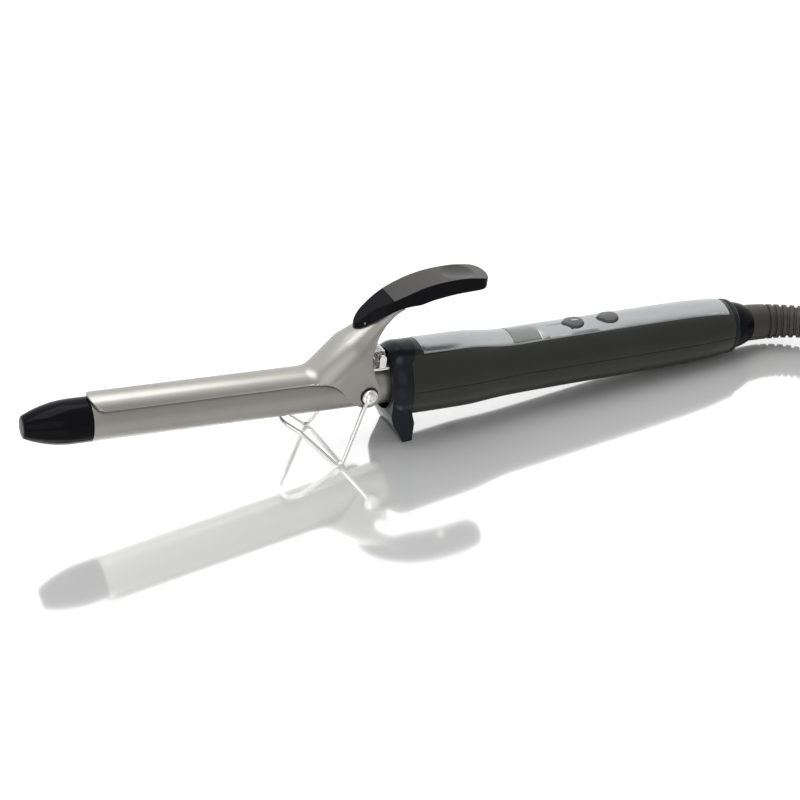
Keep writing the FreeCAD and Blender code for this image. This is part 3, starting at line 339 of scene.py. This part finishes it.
def eased(name, node, material, body, slot, edge=0.25, segments=3, angle=35):
    """A copy of a CAD node, with its loose triangles merged and its sharp edges broken."""
    bm = bmesh.new()
    bm.from_mesh(nodes[node].data)
    bmesh.ops.remove_doubles(bm, verts=bm.verts, dist=0.000002)
    bmesh.ops.dissolve_limit(bm, angle_limit=math.radians(0.4), verts=bm.verts, edges=bm.edges)
    mesh = bpy.data.meshes.new(name)
    bm.to_mesh(mesh)
    bm.free()
    piece = joined(name, mesh, material, body, slot, node)
    rounded_edges(piece, edge * MM, segments, angle)
    piece.modifiers["edges"].use_clamp_overlap = False
    return piece


def settled_normals(piece, angle=30):
    """Shade broad faces as they are, with a crisp line at every edge sharper than angle."""
    for face in piece.data.polygons:
        face.use_smooth = True
    piece.data.set_sharp_from_angle(angle=math.radians(angle))
    weighted = piece.modifiers.new("shading", "WEIGHTED_NORMAL")
    weighted.keep_sharp = True
    return piece


def carved(piece, tool, keep="DIFFERENCE"):
    """Cut one piece's shape out of another for good, and drop the tool."""
    cut = piece.modifiers.new("carve", "BOOLEAN")
    cut.operation = keep
    cut.solver = "EXACT"
    cut.object = tool
    bpy.context.view_layer.objects.active = piece
    while piece.modifiers[0].name != "carve":
        bpy.ops.object.modifier_move_up(modifier="carve")
    bpy.ops.object.modifier_apply(modifier="carve")
    bpy.data.objects.remove(tool)
    return piece


def cutter(bm, place):
    """A temporary object that holds the shape to be cut away."""
    bmesh.ops.recalc_face_normals(bm, faces=bm.faces)
    bm.transform(place)
    mesh = bpy.data.meshes.new("cutter")
    bm.to_mesh(mesh)
    bm.free()
    tool = bpy.data.objects.new("cutter", mesh)
    bpy.context.scene.collection.objects.link(tool)
    return tool


eased("clamp_sheet", "clamp", titanium, "clamp_arm", "titanium_coat", edge=0.3)
GRIP_TOP = [(144.3, 30.6), (149.3, 36.4), (157.6, 41.5), (167.5, 45.7), (177.2, 48.4), (187, 49.6),
            (194, 49.7), (205, 48.5)]
GRIP_BOTTOM = [(144.3, 28.4), (150.7, 31.4), (160.8, 36.9), (166.8, 38.5), (172.5, 39.1),
               (177.8, 40.6), (187.7, 42.3), (197.7, 43.1), (205, 43.5)]
GRIP_HALF = [(149.5, 4.2), (157.6, 6.5), (167, 7.5), (178, 7.8), (199, 7.8)]


def through(points, x):
    """A smooth curve through measured points, read at x."""
    span = max(1, min(len(points) - 1, sum(1 for p in points if p[0] < x)))
    (x0, y0), (x1, y1) = points[span - 1], points[span]
    before, after = points[max(0, span - 2)], points[min(len(points) - 1, span + 1)]
    slope0 = (y1 - before[1]) / (x1 - before[0])
    slope1 = (after[1] - y0) / (after[0] - x0)
    t = (x - x0) / (x1 - x0)
    return ((1 + 2 * t) * (1 - t) ** 2 * y0 + t * (1 - t) ** 2 * (x1 - x0) * slope0
            + t * t * (3 - 2 * t) * y1 + t * t * (t - 1) * (x1 - x0) * slope1)


NOSE_ENDS, TAIL_STARTS = 149.5, 199


def grip_half_width(x):
    """Half the grip's width here, closing to a point at the nose and a blunt curve at the rear."""
    if x < NOSE_ENDS:
        return 4.2 * math.sqrt(max(0.004, 1 - ((NOSE_ENDS - x) / 5.2) ** 1.9))
    if x > TAIL_STARTS:
        return 7.8 * max(0.004, 1 - ((x - TAIL_STARTS) / 6) ** 2.6) ** (1 / 2.6)
    return through(GRIP_HALF, x)


def grip_ring(bm, x):
    """The grip's cross section here: a rounded oblong, crisp on top and softer below."""
    half, top, bottom = grip_half_width(x), through(GRIP_TOP, x), through(GRIP_BOTTOM, x)
    points = []
    for y_side, z_side, first, soft in ((1, 1, 0, 0.75), (1, -1, -90, 1.3), (-1, -1, -180, 1.3),
                                        (-1, 1, -270, 0.75)):
        radius = min(soft, half * 0.8, (top - bottom) * 0.4)
        level = top if z_side > 0 else bottom
        corner = Vector((y_side * (half - radius), level - z_side * radius))
        for step in range(7):
            angle = math.radians(first + 90 - 15 * step)
            points.append((x, corner.x + radius * math.cos(angle),
                           corner.y + radius * math.sin(angle)))
    verts = [bm.verts.new(point) for point in points]
    return [bm.edges.new(pair) for pair in zip(verts, verts[1:] + verts[:1])]


grip_mesh = bmesh.new()
grip_places = [144.3 + 0.12 * n * n for n in range(7)] + [150 + 0.5 * n for n in range(99)]
grip_places += [205 - 0.11 * n * n for n in range(7, -1, -1)]
grip_loops = [grip_ring(grip_mesh, x) for x in grip_places]
for before, after in zip(grip_loops, grip_loops[1:]):
    bmesh.ops.bridge_loops(grip_mesh, edges=before + after)
bmesh.ops.holes_fill(grip_mesh, edges=[e for e in grip_mesh.edges if e.is_boundary])
grip = solid("thumb_lever", grip_mesh, IRON, gloss_black, "clamp_arm", "gloss_black", "thumb_grip",
             edge=0)
hollow = bmesh.new()
bmesh.ops.create_uvsphere(hollow, u_segments=64, v_segments=32, radius=1)
hollow.transform(Matrix.Translation((192.5, 0, 53.1)) @ Matrix.Rotation(-0.02, 4, "Y")
                 @ Matrix.Diagonal((14, 10, 4.6, 1)))
carved(grip, cutter(hollow, IRON))
settled_normals(grip)
pad_satin = surface("pad_satin", (0.034, 0.033, 0.030), 0.3, grain=1800, depth=0.000008, mottle=40,
                    specular=0.3)
grip.data.materials.append(pad_satin)
PAD_HALF, CREASE = 7.2, 159.5
upright = IRON.to_3x3().normalized()
back_to_flat = IRON.inverted()
for face in grip.data.polygons:
    facing = upright.inverted() @ face.normal
    middle = back_to_flat @ face.center
    if facing.z > 0.6 and abs(middle.y) < PAD_HALF and middle.x > CREASE:
        face.material_index = 1


# ------------------------------------------------------------------ clamp pivot, spring and stand
# A cross-recessed screw on each side holds a dark washer, the clamp's ear and the stand's wire
# ring. The bright torsion spring sits over the barrel on a bent steel bracket.
bright_wire = surface("bright_wire", (0.8, 0.8, 0.79), 0.12, metal=1.0, grain=900,
                      depth=0.000003, spread=0.05)
dark_nylon = surface("dark_nylon", (0.012, 0.012, 0.012), 0.5, grain=1500)
bright_steel = surface("bright_steel", (0.82, 0.81, 0.78), 0.2, metal=1.0, grain=1400,
                       depth=0.000005, spread=0.05, stretch=(0.2, 1, 1))
PIVOT_ALONG = 150
SCREW_FACE = BARREL + 0.55 + 1.3 + 2.1
screw_profile = [(5.5, 0), (5.5, 1.48), (SCREW_FACE, 1.48), (SCREW_FACE, 2.4),
                 (SCREW_FACE + 0.5, 2.4), (SCREW_FACE + 0.75, 2.15), (SCREW_FACE + 0.95, 1.75),
                 (SCREW_FACE + 1.07, 1.1), (SCREW_FACE + 1.1, 0)]
for side, sign in (("near", -1), ("far", 1)):
    sideways = Matrix.Rotation(sign * math.pi / 2, 4, "Z")
    outwards = IRON @ Matrix.Translation((PIVOT_ALONG, 0, 0)) @ sideways
    replaced = ("pivot_screws",) if sign < 0 else ()
    screw = solid("pivot_screw_" + side, turned(screw_profile, 64), outwards, bright_steel,
                  "handle", "bright_wire", *replaced, edge=0.06, segments=2)
    for quarter in (0.3, 0.3 + math.pi / 2):
        bar = bmesh.new()
        bmesh.ops.create_cube(bar, size=1, matrix=Matrix.Translation((SCREW_FACE + 1.1, 0, 0))
                              @ Matrix.Rotation(quarter, 4, "X")
                              @ Matrix.Diagonal((1.5, 2.9, 0.55, 1)))
        carved(screw, cutter(bar, outwards))
finished(bright_wire, "wire_stand", "clamp_spring", "spring_pin")
finished(bright_steel, "grip_rivet")
PLATE_TOP, PIN_ALONG, PIN_LEVEL = 11.2, 156.6, 15.2
bracket = bmesh.new()
for middle, size in (((154, 0, PLATE_TOP - 0.6), (12, 16, 1.2)), ((153.5, 0, 9.6), (7, 7, 1.2))):
    bmesh.ops.create_cube(bracket, size=1, matrix=Matrix.Translation(middle)
                          @ Matrix.Diagonal((*size, 1)))
for side in (-1, 1):
    lug = [(PIN_ALONG - 1.5, side * 8, PLATE_TOP - 0.5),
           (PIN_ALONG + 1.5, side * 8, PLATE_TOP - 0.5)]
    lug += [(PIN_ALONG + 1.7 * math.cos(math.radians(a)), side * 8,
             PIN_LEVEL + 1.7 * math.sin(math.radians(a))) for a in range(0, 181, 20)]
    extruded(lug, (0, -side * 1.2, 0), bracket)
solid("spring_seat", bracket, IRON, bright_steel, "handle", "bracket_steel", "spring_bracket",
      edge=0.18, segments=2)
finished(dark_nylon, "pivot_bushes", "pivot_washers")

# ------------------------------------------------------------------ collar
# The black moulding that carries the barrel into the handle: a round nose with a deep mouth in
# front, and a foot that the iron rests on.
collar_black = surface("collar_black", (0.010, 0.012, 0.015), 0.24, grain=1200, depth=0.00001,
                       mottle=40, specular=0.12)
nose_profile = [(162.0, 0), (160.4, 11.6), (160.4, 12.4)]
NOSE_X, NOSE_Z, NOSE_R = 167.570, 7.895, 8.744
nose_profile += [(NOSE_X + NOSE_R * math.cos(math.radians(a)),
                  NOSE_Z + NOSE_R * math.sin(math.radians(a)))
                 for a in range(145, 84, -4)]
nose_profile += [(172, 16.6), (176, 16.6), (176, 0)]
collar_nose = solid("collar_nose", turned(nose_profile, 160, (0, 0, 1.15)), IRON, collar_black,
                    "handle", "collar_plastic", "collar", edge=0)
FOOT_FRONT, FOOT_BACK = (168.0, 30, -25.15), (172.4, 30, -24.67)
foot_side = [FOOT_BACK, (172.4, 30, 0), (160.8, 30, 0), (160.8, 30, -11.2)]
foot_curve = [(-11.2, 160.8), (-15.6, 162.3), (-20.6, 165.4), (-25.15, 168.0)]
foot_side += [(through([(-z, x) for z, x in foot_curve], depth), 30, -depth)
              for depth in range(12, 25)]
foot_side += [FOOT_FRONT]
collar_foot = solid("collar_foot", extruded(foot_side, (0, -60, 0)), IRON, collar_black, "handle",
                    "collar_plastic", edge=0)
foot_front = [(140, -13.4, 2), (140, -13.3, -8.4), (140, -12, -30), (140, 12, -30),
              (140, 13.3, -8.4), (140, 13.4, 2)]
carved(collar_foot, cutter(extruded(foot_front, (60, 0, 0)), IRON), "INTERSECT")
SEAM_X, SEAM_Z, SEAM_R = 230.624, 6.262, 62.191
SEAM_ANGLES = [215.67 - 41.89 * n / 24 for n in range(25)]
for half_collar in (collar_nose, collar_foot):
    for start, long, radius, level in ((150, 16, 12.0, 0), (150, 40, 11.9, 0), (150, 15, 9.0, 6.4)):
        drill = turned([(start, 0), (start, radius), (start + long, radius), (start + long, 0)],
                       128, (0, 0, level))
        carved(half_collar, cutter(drill, IRON))
    throat = bmesh.new()
    bmesh.ops.create_cube(throat, size=1, matrix=Matrix.Translation((157.5, 0, 3.2))
                          @ Matrix.Diagonal((15, 18, 6.4, 1)))
    carved(half_collar, cutter(throat, IRON))
    shell_edge = [(SEAM_X + SEAM_R * math.cos(math.radians(a)), 30,
                   SEAM_Z + SEAM_R * math.sin(math.radians(a))) for a in SEAM_ANGLES]
    shell_edge += [(174.6, 30, 19), (174.6, 30, 40), (220, 30, 40), (220, 30, -30)]
    carved(half_collar, cutter(extruded(shell_edge, (0, -60, 0)), IRON))
    rounded_edges(half_collar, 0.35 * MM, 3, 32)
finished(surface("bush_moulding", (0.010, 0.010, 0.010), 0.6, grain=1100, depth=0.00004),
         "barrel_bush")

# ------------------------------------------------------------------ handle
# Two charcoal shells meet along a parting line. A silver strip is set into the top shell and holds
# the tinted window and the two buttons; two screws close the shells from below.
charcoal = surface("charcoal", (0.017, 0.017, 0.015), 0.34, grain=2000, depth=0.000015, mottle=30,
                   specular=0.3)
panel_silver = surface("panel_silver", (0.37, 0.375, 0.38), 0.27, metal=0.9, grain=2400,
                       depth=0.00001, stretch=(1, 6, 6), spread=0.04)
window_grey = surface("window_grey", (0.16, 0.165, 0.16), 0.18, metal=0.3, grain=500,
                      depth=0.000006, coat=0.5)
button_grey = surface("button_grey", (0.05, 0.053, 0.05), 0.3, grain=1600, depth=0.00001)
mark_white = surface("mark_white", (0.62, 0.62, 0.60), 0.5, grain=1800)
eased("lower_shell", "handle_lower_shell", charcoal, "handle", "handle_plastic", edge=0.2)
eased("upper_shell", "handle_upper_shell", charcoal, "handle", "handle_plastic", edge=0.2)
eased("silver_strip", "control_panel", panel_silver, "handle", "panel_silver", edge=0.3)
eased("lamp_window", "display_window", window_grey, "handle", "window_tint", edge=0.15)
eased("power_cap", "power_button", button_grey, "power_key", "button_grey", edge=0.45, segments=4)
eased("heat_cap", "heat_button", button_grey, "heat_key", "button_grey", edge=0.45, segments=4)
stroke = bmesh.new()
bmesh.ops.create_cube(stroke, size=1, matrix=Matrix.Translation((254.4, 0, 18.98))
                      @ Matrix.Diagonal((3.2, 0.6, 0.16, 1)))
solid("power_stroke", stroke, IRON, mark_white, "power_key", "button_grey", edge=0.05, segments=2)
finished(bright_steel, "handle_screws")
finished(surface("board_lacquer", (0.02, 0.16, 0.06), 0.3, coat=0.3, mottle=400), "circuit_board")
finished(surface("component_black", (0.014, 0.014, 0.015), 0.4, grain=1900),
         "tact_switches", "triac", "capacitor")
finished(surface("lamp_lens", (0.75, 0.72, 0.62), 0.15, coat=0.5, mottle=300), "display_leds")

# ------------------------------------------------------------------ tail ring, swivel and relief
# A glossy cone turns in a ring at the handle's tail on slip rings, and the cord leaves it through a
# curved rubber relief with ribs.
contact_brass = surface("contact_brass", (0.70, 0.50, 0.22), 0.25, metal=1.0, spread=0.08)
finished(contact_brass, "slip_rings", "contact_springs")
finished(surface("live_sleeve", (0.30, 0.05, 0.03), 0.45, grain=1500), "supply_leads")
finished(dark_nylon, "swivel_socket")
SWIVEL_LEVEL, TAIL = 6.1, 335.5
on_swivel = (0, 0, SWIVEL_LEVEL)
ring_profile = [(TAIL - 1.6, 8.3), (TAIL - 1.6, 9.6), (TAIL + 0.02, 9.6), (TAIL + 0.02, 12.7),
                (TAIL + 0.3, 12.9), (TAIL + 1.0, 12.75), (TAIL + 1.2, 12.45), (TAIL + 1.5, 12.65),
                (TAIL + 2.2, 12.5), (TAIL + 2.8, 12.0), (TAIL + 2.8, 8.3), (TAIL - 1.6, 8.3)]
solid("tail_collar", turned(ring_profile, 128, on_swivel), IRON, collar_black, "handle",
      "collar_plastic", "tail_ring", edge=0.12, segments=2)
cone_profile = [(305, 0), (305, 2.2), (316.5, 2.2), (316.5, 4.34), (330, 4.34), (330, 9.1),
                (TAIL - 1.9, 9.1), (TAIL - 1.9, 8.25), (TAIL + 3.1, 8.25), (TAIL + 3.1, 11.0)]
cone_profile += [(TAIL + 3.1 + 9.4 * t, 11.2 - 2.5 * t + 0.45 * math.sin(math.pi * t))
                 for t in (0.02, 0.1, 0.2, 0.3, 0.4, 0.5, 0.6, 0.7, 0.8, 0.9, 0.97)]
cone_profile += [(TAIL + 12.5, 8.6), (TAIL + 12.5, 0)]
solid("swivel_shell", turned(cone_profile, 128, on_swivel), IRON, gloss_black, "cord_end_swivel",
      "collar_plastic", "swivel_cone", edge=0.12, segments=2)
sleeve_rubber = surface("sleeve_rubber", (0.022, 0.019, 0.016), 0.45, grain=1500, depth=0.00002)
way_out = (Matrix.Rotation(LEAN, 3, "Y") @ Vector((1, 0, 0))).normalized()
way_off = Vector((0.7166, -0.692, 0.087)).normalized()
bend_side = (way_off - way_out * way_off.dot(way_out)).normalized()
bend_axis = way_out.cross(bend_side).normalized()
BEND, TURN, STRAIGHT_END = 40.0, way_out.angle(way_off), 12.0
relief_start = (IRON @ Vector((TAIL + 12.5, 0, SWIVEL_LEVEL))) / MM


def relief_ring(bm, reach, radius):
    """One round section of the relief, this far along its bent axis."""
    angle = min(reach / BEND, TURN)
    way = way_out * math.cos(angle) + bend_side * math.sin(angle)
    middle = (relief_start + way_out * BEND * math.sin(angle)
              + bend_side * BEND * (1 - math.cos(angle)) + way * max(0, reach - BEND * TURN))
    turn = Matrix((bend_axis, way.cross(bend_axis), way)).transposed().to_4x4()
    ring = bmesh.ops.create_circle(bm, segments=64, radius=radius,
                                   matrix=Matrix.Translation(middle) @ turn)
    return {edge for vert in ring["verts"] for edge in vert.link_edges}


def relief_radius(reach):
    """The relief's radius over its ribs, this far along its bent axis."""
    arc_share = min(1, reach / (BEND * TURN))
    return 8.65 - 1.3 * arc_share - 2.8 * max(0, reach - BEND * TURN) / STRAIGHT_END


relief_long = BEND * TURN + STRAIGHT_END
SMOOTH_NECK, RIB_PITCH, RIBS = 10.2, 3.6, 9
relief_stations = [(n * 1.02, relief_radius(n * 1.02)) for n in range(11)]
for rib in range(RIBS):
    for share, drop in ((0.03, 0.9), (0.33, 0.9), (0.4, 0.0), (0.96, 0.0)):
        reach = SMOOTH_NECK + (rib + share) * RIB_PITCH
        relief_stations.append((reach, relief_radius(reach) - drop))
relief_stations += [(relief_long - 0.4, 4.6), (relief_long, 4.2)]
relief = bmesh.new()
loops = [relief_ring(relief, *station) for station in relief_stations]
for before, after in zip(loops, loops[1:]):
    bmesh.ops.bridge_loops(relief, edges=list(before | after))
bmesh.ops.holes_fill(relief, edges=[e for e in relief.edges if e.is_boundary])
solid("ribbed_relief", relief, ON_TABLE, sleeve_rubber, "cord_end_swivel", "cord_black",
      "strain_relief", edge=0.12, segments=2, angle=30)
finished(sleeve_rubber, "cord_tie")

# ------------------------------------------------------------------ floor, light and sky
# A polished white table in a light tent: a bright backdrop and top, and a dimmer near side.
floor_finish = NodeTree("floor_finish")
floor_place = floor_finish.add("ShaderNodeTexCoord")
floor_cloud = floor_finish.add("ShaderNodeTexNoise", Scale=3.0, Detail=2.0)
floor_finish.join(floor_place.outputs["Object"], floor_cloud.inputs["Vector"])
floor_finish.join(floor_finish.ramp(floor_cloud.outputs["Fac"], [(0.3, (0.95, 0.95, 0.95)),
                                                               (0.7, (0.96, 0.96, 0.96))]),
                  floor_finish.shader.inputs["Base Color"])
floor_finish.shader.inputs["Roughness"].default_value = 0.09
floor_finish.shader.inputs["Metallic"].default_value = 0.58
bpy.ops.mesh.primitive_plane_add(size=8)
floor = bpy.context.object
floor.name = "floor"
floor.location = (0, 0, -0.0002)
floor.data.materials.append(floor_finish.material)


def softbox(name, place, aim, size, power):
    """An area light at place, turned to face aim."""
    data = bpy.data.lights.new(name, "AREA")
    data.shape = "RECTANGLE"
    data.size, data.size_y = size
    data.energy = power
    lamp = bpy.data.objects.new(name, data)
    lamp.location = place
    lamp.rotation_euler = (Vector(aim) - Vector(place)).to_track_quat("-Z", "Y").to_euler()
    bpy.context.scene.collection.objects.link(lamp)
    return lamp


softbox("overhead", (-0.1, 0.1, 1.0), (0, 0, 0), (1.0, 0.5), 5)
softbox("near_panel", (-0.6, -1.1, 0.6), (0, 0, 0.03), (1.2, 0.9), 3.5)
world = bpy.data.worlds.new("tent")
bpy.context.scene.world = world
world.use_nodes = True
sky = world.node_tree
sky_place = sky.nodes.new("ShaderNodeTexCoord")
sky_parts = sky.nodes.new("ShaderNodeSeparateXYZ")
sky.links.new(sky_place.outputs["Generated"], sky_parts.inputs["Vector"])
backdrop = sky.nodes.new("ShaderNodeMapRange")
backdrop.inputs["From Min"].default_value = -0.5
backdrop.inputs["From Max"].default_value = 0.35
backdrop.inputs["To Min"].default_value = 0.55
backdrop.inputs["To Max"].default_value = 1.25
backdrop.interpolation_type = "SMOOTHSTEP"
sky.links.new(sky_parts.outputs["Y"], backdrop.inputs["Value"])
sky.links.new(backdrop.outputs["Result"], sky.nodes["Background"].inputs["Strength"])
sky.nodes["Background"].inputs["Color"].default_value = (1, 1, 1, 1)
bpy.context.scene.view_settings.view_transform = "Standard"
